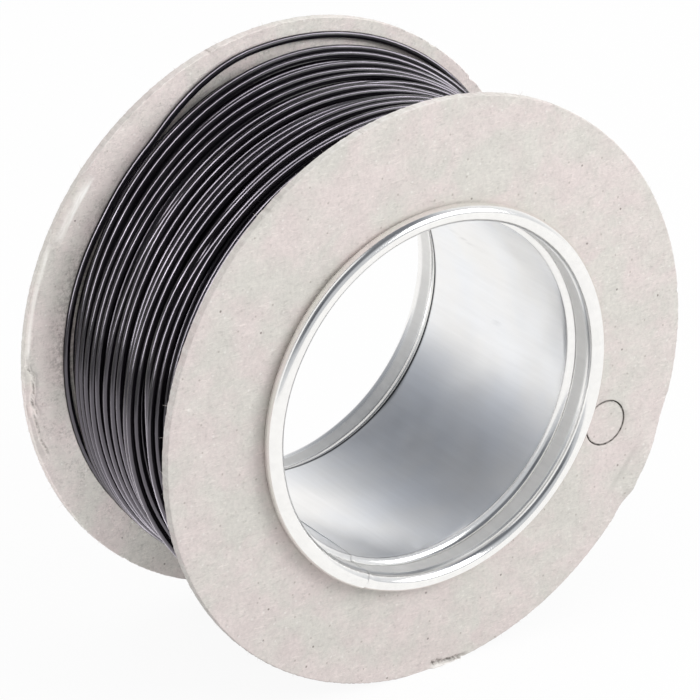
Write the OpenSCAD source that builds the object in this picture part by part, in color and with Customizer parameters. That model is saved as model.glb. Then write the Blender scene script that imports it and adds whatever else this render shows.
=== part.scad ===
// Reel of equipment wire: two greyboard flanges held on a rolled tinplate
// core, and one length of stranded PVC wire wound between them.
// The reel's axis lies along Y and its origin is the middle of the bore.
// It stands on its two rims, with the front flange at -Y.

/* [Flanges] */
// Diameter of both board flanges
flange_d = 100; // [94:1:160]
// Thickness of the greyboard
flange_t = 1.6; // [0.8:0.1:3]
// Width of the reel over the boards' outer faces
reel_w = 44; // [32:1:90]
// Depth of the crushed flat that each rim stands on
rim_flat = 0.4; // [0.3:0.05:0.6]
// Room between the board's hole and the metal throat
hole_gap = 0.1; // [0.05:0.05:0.4]

/* [Knock-out discs] */
// Diameter of the die-cut hole that each disc fills
knockout_d = 8; // [4:0.5:9]
// Distance from the reel's axis to the disc's centre
knockout_r = 38; // [37.7:0.1:42]
// Where the disc sits round the flange, from +X towards +Z
knockout_angle = -22.5; // [-180:0.5:180]
// Width of the die's cut between disc and board
knockout_kerf = 0.08; // [0.04:0.02:0.2]

/* [Tinplate core] */
// Diameter of the bore between the two stop beads
bore_d = 58.4; // [40:0.2:60]
// Thickness of the tinplate
sheet_t = 0.3; // [0.2:0.05:0.4]
// How far the throat at each end is wider than the bore, on the radius
throat_step = 0.8; // [0.4:0.1:1]
// Inside height of the stop bead above the throat
bead_h = 0.3; // [0.2:0.1:1]
// Outside radius of the rolled curl
curl_r = 1.45; // [1:0.05:1.8]
// Room between a curl or bead and the board that it holds
seat_gap = 0.05; // [0.02:0.01:0.15]
// Where the sheet's seam lies, from +X towards +Z
seam_angle = 242; // [0:1:359]
// Width of the seam's lap on the outside of the core
seam_lap = 4; // [2:0.5:8]
// How far the lap stops short of each end of the straight bore
lap_margin = 0.5; // [0.2:0.1:2]
// Width of the notch that the seam leaves in each curl
seam_notch = 1.2; // [0.4:0.1:2]

/* [Wire] */
// Diameter over the insulation
wire_d = 1.2; // [1.05:0.05:1.3]
// Diameter over the finished winding
wound_d = 86.8; // [70:0.2:88]
// Turns in the outer layer
turns = 20; // [12:1:21]
// How far the turns wander sideways as they are laid
wander = 0.08; // [0:0.01:0.1]
// Height of the loose last turn above the winding
loose_rise = 4.5; // [1:0.1:5]
// Height of the turn beside the loose one, which is slack over the top
slack_rise = 3; // [0:0.1:3.4]
// Turns over which that slack dies away
slack_turns = 7; // [2:1:12]
// Room left between the wire and what it lies against
wire_gap = 0.1; // [0.05:0.05:0.3]

/* [Conductor] */
// Diameter of one copper strand
strand_d = 0.2; // [0.1:0.01:0.24]
// Length of strand inside the cut end of the wire
strand_l = 4; // [2:0.5:8]
// Room between the strands and the insulation
strand_gap = 0.015; // [0.01:0.005:0.03]

/* [Hidden] */
STRANDS = 7;
STRAND_NODES = [for (i = [1:STRANDS]) str("conductor_strand_", i)];

FINE = 120;

// Along the reel's own axis, half_w is the outer face of a board and
// inner_z its inner face.
half_w = reel_w / 2;
inner_z = half_w - flange_t;
flange_r = flange_d / 2;

// Radii of the core, from the bore outwards.
bore_r = bore_d / 2;
throat_r = bore_r + throat_step;
hole_r = throat_r + sheet_t + hole_gap;
curl_pitch_r = throat_r + curl_r;

// The bead seats behind the board and the curl in front of it.
bead_z = inner_z - seat_gap - bead_h - sheet_t;
curl_z = half_w + seat_gap + curl_r;

// Winding: the outer layer is one layer of wire over the inner ones, and
// clears them where its straight runs come nearest to the axis.
RINGS = 24;
SIDES = 6;
wound_r = wound_d / 2;
wire_r = wire_d / 2;
turn_r = wound_r - wire_r;
windings_r = turn_r * cos(180 / RINGS) - wire_r - wire_gap;
first_z = inner_z - wire_r - wire_gap - wander;
turn_pitch = 2 * first_z / turns;

// The last turn leaves the winding, stands clear over the top and
// comes back down; all angles run from +X towards +Z. The turns beside
// it are slack over the same arc, but come down sooner.
LOOSE_FROM = -25;
LOOSE_UP = 38;
LOOSE_DOWN = 98;
SLACK_DOWN = 80;
LOOSE_TO = 150;
END_ANGLE = 312;
ring_count = turns * RINGS;

// The six outer strands lie round the middle one, in the corners of a
// hexagonal hole in the insulation.
strand_r = strand_d / 2;
hole_flat = strand_d * cos(30) + strand_r + strand_gap;
strand_hole_r = hole_flat / cos(30);

BOARD = "#cfc8c2";
BOARD_DARK = "#b9b1a9";
TIN = "#c9ccd1";
PVC = "#1b1b1f";
PVC_OUT = "#26262b";
COPPER = "#b8683c";

// Turns the reel's own axis, +Z here, to the front, -Y.
module lay_down() {
    rotate([90, 0, 0]) children();
}

module at_angle(angle, radius) {
    translate([radius * cos(angle), radius * sin(angle), 0]) children();
}

// ---------- boards ----------

module board(side) {
    difference() {
        translate([0, 0, side * (half_w + inner_z) / 2])
            cylinder(h = flange_t, r = flange_r, center = true, $fn = FINE);
        cylinder(h = reel_w + 1, r = hole_r, center = true, $fn = FINE);
        at_angle(knockout_angle, knockout_r)
            cylinder(h = reel_w + 1, d = knockout_d, center = true, $fn = FINE);
        translate([-flange_r, -flange_r - 1, -reel_w])
            cube([flange_d, 1 + rim_flat, 2 * reel_w]);
    }
}

module knockout_disc(side) {
    at_angle(knockout_angle, knockout_r)
        translate([0, 0, side * (half_w + inner_z) / 2])
            cylinder(h = flange_t, d = knockout_d - 2 * knockout_kerf,
                     center = true, $fn = FINE);
}

// ---------- tinplate core ----------

// Everything within one skin of the core, from the middle of the reel to
// the front curl: skin 0 is the inside of the sheet, sheet_t its outside.
module half_core_section(skin) {
    bead_r = bead_h + skin;
    touch = bead_r * cos(45);
    flank = bead_r / cos(45) + throat_step - skin;
    square([bore_r + skin, bead_z]);
    translate([0, bead_z]) square([throat_r + skin, curl_z - bead_z]);
    translate([throat_r, bead_z]) circle(r = bead_r, $fn = FINE);
    polygon([
        [0, bead_z],
        [throat_r, bead_z],
        [throat_r + touch, bead_z - touch],
        [bore_r + skin, bead_z - flank],
        [0, bead_z - flank]
    ]);
}

module core_section(skin) {
    half_core_section(skin);
    mirror([0, 1]) half_core_section(skin);
}

// The curl rolls out over the board and in again to meet its face.
module curl_section() {
    translate([curl_pitch_r, curl_z]) difference() {
        circle(r = curl_r, $fn = FINE);
        circle(r = curl_r - sheet_t, $fn = FINE);
        translate([-2 * curl_r, -2 * curl_r]) square(2 * curl_r);
    }
}

module sheet_section() {
    difference() {
        core_section(sheet_t);
        core_section(0);
    }
    curl_section();
    mirror([0, 1]) curl_section();
}

// The lap stops short of the flanks that lead up to the beads.
module seam_lap_strip() {
    lap_turn = seam_lap / bore_r * 180 / PI;
    flank = (bead_h + sheet_t) / cos(45) + throat_step - sheet_t;
    lap_h = 2 * (bead_z - flank - lap_margin);
    rotate([0, 0, seam_angle - lap_turn / 2])
        rotate_extrude(angle = lap_turn, $fn = FINE)
            translate([bore_r + sheet_t / 2, -lap_h / 2])
                square([1.5 * sheet_t, lap_h]);
}

// Cuts both curls, down to the boards, where the sheet's two ends meet.
module seam_notch_cut() {
    notch_h = 3 * curl_r;
    for (side = [-1, 1])
        rotate([0, 0, seam_angle])
            translate([bore_r, -seam_notch / 2, side * (half_w + notch_h / 2) - notch_h / 2])
                cube([throat_step + 3 * curl_r, seam_notch, notch_h]);
}

module core_sheet() {
    difference() {
        rotate_extrude($fn = FINE) sheet_section();
        seam_notch_cut();
    }
    seam_lap_strip();
}

// ---------- wire ----------

// The layers under the outer one, as one plain core that follows the
// outside of the tinplate and its seam lap.
module windings() {
    windings_z = inner_z - wire_gap;
    rotate_extrude($fn = FINE) difference() {
        translate([0, -windings_z]) square([windings_r, 2 * windings_z]);
        core_section(2 * sheet_t + wire_gap);
    }
}

function smooth(x) =
    let (u = max(0, min(1, x)))
    u * u * (3 - 2 * u);

// Share of its full height at which a loose or slack turn stands at one
// angle of its own turn, where it starts to come down at down_from.
function rise_at(a, down_from) =
    smooth((a - LOOSE_FROM) / (LOOSE_UP - LOOSE_FROM))
    * smooth((LOOSE_TO - a) / (LOOSE_TO - down_from));

// Height of the wire above the tight winding after t turns. It is left
// turns before its end, at the angle a of its own turn.
function rise_after(t) =
    let (left = turns - t,
         a = END_ANGLE - 360 * (left - floor(left)),
         slack = max(0, 1 - (left - 1) / slack_turns))
    left < 1 ? loose_rise * rise_at(a, LOOSE_DOWN)
             : slack_rise * slack * rise_at(a, SLACK_DOWN);

// Centre of the wire after t turns, as [angle, radius, height].
function turn_at(t) =
    [END_ANGLE + 360 * (t - turns),
     turn_r + rise_after(t),
     first_z - turn_pitch * t + wander * sin(360 * 1.4 * t)];

function turn_point(t) =
    let (p = turn_at(t))
    [p[1] * cos(p[0]), p[1] * sin(p[0]), p[2]];

// One six-sided ring round the wire, in the plane through the reel's axis.
function ring(t, r) =
    let (p = turn_at(t))
    [for (k = [0:SIDES - 1])
        let (q = p[1] + r * cos(360 * k / SIDES))
        [q * cos(p[0]), q * sin(p[0]), p[2] + r * sin(360 * k / SIDES)]];

// The wire's last two points give the straight run that holds the strands.
tail_start = turn_point(turns - 1 / RINGS);
tail_end = turn_point(turns);
tail_l = norm(tail_end - tail_start);
hole_t = turns - strand_l / tail_l / RINGS;

// A ring on the straight line between the last two rings of the wire.
function tail_ring(t, r) =
    let (u = (t - turns) * RINGS + 1,
         near = ring(turns - 1 / RINGS, r),
         far = ring(turns, r))
    [for (k = [0:SIDES - 1]) near[k] * (1 - u) + far[k] * u];

function band(a, b) = [
    for (k = [0:SIDES - 1])
        let (n = (k + 1) % SIDES)
        each [[a + k, b + k, b + n], [a + k, b + n, a + n]]];

function fan(a, turned) = [
    for (k = [1:SIDES - 2])
        turned ? [a, a + k + 1, a + k] : [a, a + k, a + k + 1]];

module turns_tube() {
    outer = [for (i = [0:ring_count]) each ring(i / RINGS, wire_r)];
    hole = concat(tail_ring(turns, strand_hole_r), tail_ring(hole_t, strand_hole_r));
    last = ring_count * SIDES;
    mouth = last + SIDES;
    floor_at = mouth + SIDES;
    faces = concat(
        fan(0, true),
        [for (i = [0:ring_count - 1]) each band(i * SIDES, (i + 1) * SIDES)],
        band(last, mouth),
        band(mouth, floor_at),
        fan(floor_at, false));
    polyhedron(points = concat(outer, hole), faces = faces);
}

// Strand 1 runs down the middle, the others round it.
module strand(i) {
    axis = (tail_end - tail_start) / tail_l;
    out = [cos(END_ANGLE), sin(END_ANGLE), 0];
    up = [0, 0, 1];
    turn = 360 * (i - 2) / (STRANDS - 1);
    off = i == 1 ? [0, 0, 0] : strand_d * (out * cos(turn) + up * sin(turn));
    yaw = atan2(axis[1], axis[0]);
    tilt = acos(axis[2]);
    translate(tail_end + off - axis * (strand_l - strand_gap))
        rotate([0, tilt, yaw])
            cylinder(h = strand_l - strand_gap, d = strand_d, $fn = 24);
}

// Least gap between the wire and itself, measured between the centres of
// the rings that lie at least half a turn apart.
centres = [for (i = [0:ring_count]) turn_point(i / RINGS)];
least_gap = min([for (i = [0:ring_count - RINGS / 2])
    min([for (j = [i + RINGS / 2:ring_count]) norm(centres[i] - centres[j])])]) - wire_d;
echo(least_gap_between_turns = least_gap);  // outer_turns

// ---------- nodes ----------

module front_flange() { color(BOARD) lay_down() board(1); }
module back_flange() { color(BOARD_DARK) lay_down() board(-1); }
module front_knockout_disc() { color(BOARD) lay_down() knockout_disc(1); }
module back_knockout_disc() { color(BOARD_DARK) lay_down() knockout_disc(-1); }
module core_barrel() { color(TIN) lay_down() core_sheet(); }
module inner_windings() { color(PVC) lay_down() windings(); }
module outer_turns() { color(PVC_OUT) lay_down() turns_tube(); }
module conductor_strand(i) { color(COPPER) lay_down() strand(i); }

front_flange();
back_flange();
front_knockout_disc();
back_knockout_disc();
core_barrel();
inner_windings();
outer_turns();
for (i = [1:STRANDS])
    conductor_strand(i);
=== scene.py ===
"""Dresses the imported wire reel: boards, tinplate core, wound wire and studio."""

import math

import bmesh
import bpy
import numpy as np
from mathutils import Matrix, Vector


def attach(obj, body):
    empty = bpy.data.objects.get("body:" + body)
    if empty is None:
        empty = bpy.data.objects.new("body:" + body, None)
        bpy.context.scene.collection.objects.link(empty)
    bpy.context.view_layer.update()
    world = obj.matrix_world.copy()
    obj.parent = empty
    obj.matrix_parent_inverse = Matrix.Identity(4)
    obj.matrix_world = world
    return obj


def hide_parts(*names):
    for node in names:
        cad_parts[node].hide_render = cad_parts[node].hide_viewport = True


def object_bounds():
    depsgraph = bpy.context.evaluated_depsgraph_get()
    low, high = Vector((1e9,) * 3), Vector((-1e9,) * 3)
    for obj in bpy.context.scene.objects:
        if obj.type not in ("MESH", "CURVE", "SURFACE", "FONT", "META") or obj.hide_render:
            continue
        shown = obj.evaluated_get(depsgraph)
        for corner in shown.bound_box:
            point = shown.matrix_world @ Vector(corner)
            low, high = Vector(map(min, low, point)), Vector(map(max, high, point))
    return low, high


bl_info = {
    "name": "Wire Reel Dresser",
    "version": (1, 0, 0),
    "blender": (4, 5, 0),
    "location": "3D View > Sidebar > Wire Reel",
    "description": "Builds the boards, core, winding and studio of a wire reel",
    "category": "Object",
}

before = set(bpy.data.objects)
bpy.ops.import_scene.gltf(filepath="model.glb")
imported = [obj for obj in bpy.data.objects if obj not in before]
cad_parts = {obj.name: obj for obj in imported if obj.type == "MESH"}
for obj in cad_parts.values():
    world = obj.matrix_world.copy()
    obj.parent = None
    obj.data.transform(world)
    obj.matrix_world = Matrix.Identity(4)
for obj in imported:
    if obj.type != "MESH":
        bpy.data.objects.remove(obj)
CAD_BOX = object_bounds()

MM = 0.001
TAU = 2 * math.pi

# Fixed places on the reel, in millimetres and in degrees round its axis,
# from +X towards +Z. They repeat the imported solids' values, except FLANK_FOOT,
# KERF and LOOSE_TO, which are drawn a little differently for the look.
HALF_WIDTH = 22.0
BOARD_THICK = HALF_WIDTH - 20.4
BOARD_MIDDLE = HALF_WIDTH - 0.8
RIM_R = 50.0
HOLE_R = 30.4
SHEET = 0.3
BEAD_MID_R = 30.0
BEAD_Y = 19.75
BEAD_R = 0.45
FLANK_FOOT = {"front": 18.75, "back": 18.1}
THROAT_R = 30.15
CURL_R = 31.45
CURL_Y = 23.5
CURL_MID = 1.30
KNOCKOUT_R = 38.0
KNOCKOUT_ANGLE = -22.5
KNOCKOUT_D = 8.0
KERF = 0.13
# The outer layer, the last turn that stands off it and the straight end.
WIRE_D = 1.2
TURN_R = 42.8
EDGE_Y = 19.72
LAST_Y = 19.62
LOOSE_RISE = 4.5
LOOSE_FROM, LOOSE_UP, LOOSE_DOWN, LOOSE_TO = -25.0, 38.0, 98.0, 138.0
SLACK_DOWN, SLACK_TO = 80.0, 150.0
END_ANGLE = 312.0
TAIL_TURN = 1 / 24
STRAND_L = 0.004


# ---------- small tools ----------


def settings(kind):
    """One group of the reel's settings, as set in the sidebar."""
    return getattr(bpy.context.scene, "reel_" + kind)


def bump(x, centre, width):
    """A smooth hump of height 1, zero past width on each side."""
    u = np.clip(np.abs(x - centre) / width, 0, 1)
    return (1 - u * u) ** 2


def step(x, low, high):
    """Rises smoothly from 0 at low to 1 at high."""
    u = np.clip((x - low) / (high - low), 0, 1)
    return u * u * (3 - 2 * u)


def turned(angle, centre):
    """Degrees from centre to angle, the short way round."""
    return (angle - centre + 180) % 360 - 180


def between(angle, start, end, ease_in, ease_out):
    """1 between two angles, and 0 outside them, with soft ends."""
    return step(turned(angle, start), 0, ease_in) * step(-turned(angle, end), 0, ease_out)


def ripple(angle, seed, low, high, power=0.5):
    """Seeded waves round the reel, about 1 high, of low to high waves a turn."""
    rng = np.random.default_rng(seed)
    waves = np.arange(low, high + 1)
    size = rng.normal(size=len(waves)) / waves**power
    size /= max(1e-9, np.sqrt(np.sum(size**2)))
    phase = rng.uniform(0, TAU, len(waves))
    turn = np.radians(angle)
    total = np.zeros_like(turn)
    for wave, amount, start in zip(waves, size, phase):
        total += amount * np.cos(wave * turn + start)
    return total


def round_reel(radius, angle, y):
    """Points at that radius, angle in degrees and depth, in metres."""
    turn = np.radians(angle)
    return np.stack([radius * np.cos(turn), y + 0 * radius, radius * np.sin(turn)], -1) * MM


def placed(name, data):
    """A new object in the scene, at the origin."""
    made = bpy.data.objects.new(name, data)
    bpy.context.scene.collection.objects.link(made)
    return made


def mesh_object(name, points, faces, material):
    """A new piece from points in metres."""
    mesh = bpy.data.meshes.new(name)
    mesh.from_pydata(points.reshape(-1, 3).tolist(), [], faces)
    mesh.validate()
    piece = placed(name, mesh)
    mesh.materials.append(material)
    return piece


def grid_faces(rows, columns, closed_rows, closed_columns):
    """Quads over a grid of points, row after row."""
    faces = []
    for i in range(rows if closed_rows else rows - 1):
        a, b = i * columns, (i + 1) % rows * columns
        for j in range(columns if closed_columns else columns - 1):
            k = (j + 1) % columns
            faces.append((a + j, a + k, b + k, b + j))
    return faces


def keep_value(piece, name, values, kind="FLOAT", field="value"):
    """Stores a value for each vertex, for a material or a node tree to read."""
    layer = piece.data.attributes.new(name, kind, "POINT")
    layer.data.foreach_set(field, np.asarray(values, np.float32).ravel())


def shade(mesh, sharp_angle):
    """Shades a mesh smooth, but for edges sharper than that angle."""
    mesh.shade_smooth()
    mesh.set_sharp_from_angle(angle=math.radians(sharp_angle))


def tidy_normals(piece, sharp_angle):
    """Turns the faces outwards and shades them smooth up to that angle."""
    work = bmesh.new()
    work.from_mesh(piece.data)
    bmesh.ops.recalc_face_normals(work, faces=work.faces)
    work.to_mesh(piece.data)
    work.free()
    shade(piece.data, sharp_angle)


def settle(piece, node):
    """Puts a finished piece on the reel in the place of its CAD node."""
    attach(piece, "root")
    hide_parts(node)


# ---------- node trees ----------


class Nodes:
    """A node tree, with one call for each node."""

    def __init__(self, tree):
        self.tree = tree

    def put(self, socket, value):
        """Joins an output to a socket, or sets the socket's value."""
        if isinstance(value, bpy.types.NodeSocket):
            self.tree.links.new(value, socket)
        else:
            socket.default_value = value

    def node(self, kind, choices=None, **values):
        """Adds a node, with its choices and its inputs by name."""
        made = self.tree.nodes.new(kind)
        for name, value in (choices or {}).items():
            setattr(made, name, value)
        for name, value in values.items():
            self.put(made.inputs[name.replace("_", " ")], value)
        return made

    def ramp(self, value, low, high, bottom=0.0, top=1.0):
        """Goes smoothly from bottom to top while the value goes from low to high."""
        made = self.node(
            "ShaderNodeMapRange", {"interpolation_type": "SMOOTHSTEP"}, Value=value
        )
        for name, number in (
            ("From Min", low), ("From Max", high), ("To Min", bottom), ("To Max", top)
        ):
            made.inputs[name].default_value = number
        return made.outputs["Result"]

    def maths(self, operation, first, second=0.0):
        made = self.node("ShaderNodeMath", {"operation": operation})
        self.put(made.inputs[0], first)
        self.put(made.inputs[1], second)
        return made.outputs["Value"]

    def mix(self, share, first, second, blend="MIX"):
        """The second colour over the first, by that share."""
        made = self.node("ShaderNodeMix", {"data_type": "RGBA", "blend_type": blend})
        self.put(made.inputs[0], share)
        self.put(made.inputs[6], first)
        self.put(made.inputs[7], second)
        return made.outputs[2]

    def pick(self, share, first, second):
        """The second shader over the first, by that share."""
        made = self.node("ShaderNodeMixShader")
        for socket, value in zip(made.inputs, (share, first, second)):
            self.put(socket, value)
        return made.outputs["Shader"]


class Shader(Nodes):
    """A material, whose patterns lie on the piece itself."""

    def __init__(self, name):
        self.material = bpy.data.materials.new(name)
        self.material.use_nodes = True
        super().__init__(self.material.node_tree)
        self.surface = self.tree.nodes["Principled BSDF"]
        self.place = self.node("ShaderNodeTexCoord").outputs["Object"]

    def set(self, **values):
        for name, value in values.items():
            self.put(self.surface.inputs[name.replace("_", " ")], value)

    def noise(self, scale, detail=3.0, roughness=0.5, place=None, distortion=0.0):
        made = self.node(
            "ShaderNodeTexNoise", Vector=place or self.place, Scale=scale,
            Detail=detail, Roughness=roughness, Distortion=distortion,
        )
        return made.outputs["Fac"]

    def stretched(self, rotation, scale, place=None):
        """Turned and scaled coordinates."""
        made = self.node(
            "ShaderNodeMapping", Vector=place or self.place, Rotation=rotation, Scale=scale
        )
        return made.outputs["Vector"]

    def kept(self, name):
        """A value that the mesh keeps for each vertex."""
        made = self.node("ShaderNodeAttribute", {"attribute_name": name})
        return made.outputs["Fac"]

    def relief(self, height, distance, normal=None):
        """A bump of that height in metres."""
        made = self.node("ShaderNodeBump", Height=height, Distance=distance, Strength=1.0)
        if normal is not None:
            self.put(made.inputs["Normal"], normal)
        return made.outputs["Normal"]


class Geometry(Nodes):
    """A Geometry Nodes tree that turns one mesh into another."""

    def __init__(self, name, given, sizes, result):
        super().__init__(bpy.data.node_groups.new(name, "GeometryNodeTree"))
        face = self.tree.interface
        face.new_socket(given, in_out="INPUT", socket_type="NodeSocketGeometry")
        self.keys = {
            size: face.new_socket(size, in_out="INPUT", socket_type=kind).identifier
            for size, kind in sizes.items()
        }
        face.new_socket(result, in_out="OUTPUT", socket_type="NodeSocketGeometry")
        self.given = self.node("NodeGroupInput").outputs
        self.result = self.node("NodeGroupOutput").inputs[result]

    def stored(self, name, kind):
        """Reads a value that the mesh keeps."""
        made = self.node("GeometryNodeInputNamedAttribute", {"data_type": kind}, Name=name)
        return made.outputs["Attribute"]

    def store(self, name, geometry, value):
        """Keeps a value on the points of a mesh or curve."""
        made = self.node(
            "GeometryNodeStoreNamedAttribute", {"data_type": "FLOAT", "domain": "POINT"},
            Name=name, Geometry=geometry, Value=value,
        )
        return made.outputs["Geometry"]

    def real(self, geometry):
        made = self.node("GeometryNodeRealizeInstances", Geometry=geometry)
        return made.outputs["Geometry"]

    def finish(self, geometry, material):
        """Paints the result and hands it out."""
        made = self.node("GeometryNodeSetMaterial", Geometry=geometry, Material=material)
        self.put(self.result, made.outputs["Geometry"])


# ---------- materials ----------


def rgba(colour):
    """A colour of three numbers as an opaque one of four."""
    return (colour[0], colour[1], colour[2], 1.0)


def greyboard():
    """Recycled board: cloudy grey with fibres and specks, raw plies at its cut edges."""
    if "board_paper" in bpy.data.materials:
        return bpy.data.materials["board_paper"]
    board = settings("board")
    s = Shader("board_paper")
    face, warm, raw = rgba(board.face_colour), rgba(board.warm_colour), rgba(board.edge_colour)

    # The pattern lies flat on each board, another stretch of it on the back one.
    at = s.node("ShaderNodeSeparateXYZ", Vector=s.place).outputs
    sheet = s.maths("MULTIPLY", s.maths("GREATER_THAN", at["Y"], 0.0), 0.31)
    flat = s.node("ShaderNodeCombineXYZ", X=at["X"], Y=at["Z"], Z=sheet).outputs["Vector"]

    clouds = s.ramp(s.noise(95.0, 7.0, 0.60, distortion=0.3), 0.36, 0.64)
    colour = s.mix(clouds, face, warm)
    blotch = s.ramp(s.noise(330.0, 5.0, 0.65), 0.30, 0.70, 0.95, 1.035)
    colour = s.mix(1.0, colour, blotch, "MULTIPLY")
    grain = s.noise(1500.0, 4.0, 0.7)
    colour = s.mix(1.0, colour, s.ramp(grain, 0.32, 0.68, 0.935, 1.05), "MULTIPLY")

    fibre_height = None
    for turn, tone in ((0.35, 0.91), (1.45, 1.07), (2.5, 0.92), (0.9, 1.07), (2.0, 1.08)):
        place = s.stretched((0.0, 0.0, turn), (560.0, 2600.0, 900.0), flat)
        streaks = s.ramp(s.noise(1.0, 2.0, 0.5, place, 0.8), 0.62, 0.70)
        toned = s.mix(1.0, colour, (tone, tone, tone, 1), "MULTIPLY")
        colour = s.mix(streaks, colour, toned)
        if fibre_height is None:
            fibre_height = streaks
        else:
            fibre_height = s.maths("ADD", fibre_height, streaks)

    # Dark and pale specks: small dots in a few of the cells.
    ragged = s.noise(4200.0, 3.0, 0.7)
    for scale, size, rarity, strength, speck in (
        (130.0, 0.024, 0.72, 0.70, (0.13, 0.10, 0.085, 1)),
        (300.0, 0.052, 0.80, 0.50, (0.34, 0.29, 0.26, 1)),
        (560.0, 0.110, 0.72, 0.32, (0.47, 0.43, 0.40, 1)),
        (460.0, 0.090, 0.80, 0.40, (0.90, 0.88, 0.85, 1)),
    ):
        cells = s.node(
            "ShaderNodeTexVoronoi", {"voronoi_dimensions": "2D"}, Vector=flat,
            Scale=scale, Randomness=1.0,
        )
        reach = s.maths("MULTIPLY", cells.outputs["Distance"], s.maths("ADD", ragged, 0.5))
        dot = s.ramp(reach, size * 0.5, size * 1.4, 1.0, 0.0)
        chance = s.node("ShaderNodeSeparateColor", Color=cells.outputs["Color"]).outputs["Red"]
        chosen = s.maths("GREATER_THAN", chance, rarity)
        share = s.maths("MULTIPLY", s.maths("MULTIPLY", dot, chosen), strength)
        colour = s.mix(share, colour, speck)

    # Grit and lint from the wire cling to the faces beside it.
    clumps = s.ramp(s.noise(620.0, 4.0, 0.7), 0.42, 0.62)
    grit = s.ramp(s.noise(2400.0, 3.0, 0.75), 0.36, 0.60, 0.74, 1.06)
    grit = s.maths("ADD", s.maths("MULTIPLY", grit, clumps), s.maths("SUBTRACT", 1.03, clumps))
    colour = s.mix(s.kept("grit"), colour, s.mix(1.0, colour, grit, "MULTIPLY"))

    # Cut edges and torn places show the plies.
    layers = s.noise(1.0, 3.0, 0.6, s.stretched((0, 0, 0), (260.0, 5200.0, 260.0)))
    dull = s.mix(1.0, raw, (0.86, 0.84, 0.82, 1), "MULTIPLY")
    plies = s.mix(s.ramp(layers, 0.35, 0.65), raw, dull)
    colour = s.mix(s.kept("raw"), colour, plies)
    # Dirt, and painted shade in crevices, cuts and beside the winding, darken the faces in patches.
    patchy = s.ramp(s.noise(1500.0, 4.0, 0.7), 0.40, 0.62, 0.35, 1.0)
    soil = s.maths("MULTIPLY", s.kept("soil"), patchy)
    colour = s.mix(soil, colour, (0.095, 0.085, 0.075, 1))

    height = s.maths(
        "ADD", s.maths("MULTIPLY", grain, 0.7), s.maths("MULTIPLY", fibre_height, 0.25)
    )
    fuzz = s.maths("MULTIPLY", s.noise(5200.0, 2.0, 0.6), 0.25)
    tooth = s.maths("MULTIPLY", s.kept("raw"), s.noise(2600.0, 3.0, 0.7))
    height = s.maths("ADD", s.maths("ADD", height, fuzz), s.maths("MULTIPLY", tooth, 2.0))
    s.set(
        Base_Color=colour, Roughness=0.93, Specular_IOR_Level=0.25,
        Normal=s.relief(height, 0.00004),
    )
    return s.material


def tinplate():
    """Bright rolled tinplate: cloudy in the bore, polished where it was formed."""
    if "rolled_tinplate" in bpy.data.materials:
        return bpy.data.materials["rolled_tinplate"]
    tin = settings("tin")
    s = Shader("rolled_tinplate")
    shade = s.ramp(s.noise(70.0, 3.0, 0.5), 0.30, 0.70)
    colour = s.mix(shade, rgba(tin.colour), rgba(tin.warm_colour))
    colour = s.mix(s.kept("formed"), colour, rgba(tin.formed_colour))
    drawn = s.noise(1.0, 3.0, 0.6, s.stretched((0, 0, 0), (900.0, 60.0, 900.0)))
    colour = s.mix(1.0, colour, s.ramp(drawn, 0.25, 0.75, 0.975, 1.02), "MULTIPLY")
    # Scuffs, and painted shade in the folds at the ends of the bore, darken the metal.
    colour = s.mix(s.kept("scuff"), colour, (0.06, 0.06, 0.065, 1))
    formed = s.kept("formed")
    clouds = s.ramp(s.noise(90.0, 2.0, 0.5), 0.30, 0.70, -0.02, 0.04)
    matt = s.maths("ADD", clouds, tin.bore_roughness)
    bright = s.maths("ADD", clouds, tin.formed_roughness)
    roughness = s.maths(
        "ADD", s.maths("MULTIPLY", matt, s.maths("SUBTRACT", 1.0, formed)),
        s.maths("MULTIPLY", bright, formed),
    )
    roughness = s.maths("ADD", roughness, s.maths("MULTIPLY", s.kept("matt"), 0.50))
    dents = s.noise(90.0, 1.0, 0.4)
    s.set(
        Base_Color=colour, Metallic=1.0, Roughness=roughness,
        Normal=s.relief(s.maths("ADD", dents, s.maths("MULTIPLY", drawn, 0.01)), 0.00003),
    )
    return s.material


def insulation():
    """Black PVC, semi-gloss, with faint drag marks along the wire."""
    if "black_pvc" in bpy.data.materials:
        return bpy.data.materials["black_pvc"]
    wire = settings("wire")
    s = Shader("black_pvc")
    place = s.node(
        "ShaderNodeCombineXYZ", X=s.maths("MULTIPLY", s.kept("along"), 60.0),
        Y=s.maths("MULTIPLY", s.kept("around"), 9.0),
    )
    drag = s.noise(1.0, 4.0, 0.6, place.outputs["Vector"])
    dust = s.ramp(s.noise(420.0, 5.0, 0.7), 0.55, 0.80)
    base = rgba(wire.colour)
    grey = (base[0] * 1.8 + 0.001, base[1] * 1.8 + 0.001, base[2] * 1.8 + 0.001, 1)
    colour = s.mix(s.ramp(drag, 0.40, 0.70), base, grey)
    colour = s.mix(s.maths("MULTIPLY", dust, 0.30), colour, (0.020, 0.019, 0.021, 1))
    rough = s.ramp(drag, 0.30, 0.70, wire.roughness - 0.04, wire.roughness + 0.07)
    s.set(
        Base_Color=colour, Roughness=rough, Specular_IOR_Level=0.35, IOR=1.5,
        Normal=s.relief(drag, 0.000012),
    )
    return s.material


def copper():
    """Plain drawn copper with a light tarnish."""
    s = Shader("drawn_copper")
    tarnish = s.ramp(s.noise(2400.0, 3.0, 0.6), 0.35, 0.70)
    s.set(
        Base_Color=s.mix(tarnish, (0.78, 0.36, 0.20, 1), (0.55, 0.24, 0.13, 1)),
        Metallic=1.0, Roughness=s.ramp(tarnish, 0.0, 1.0, 0.24, 0.40),
    )
    return s.material


# ---------- boards ----------


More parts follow.
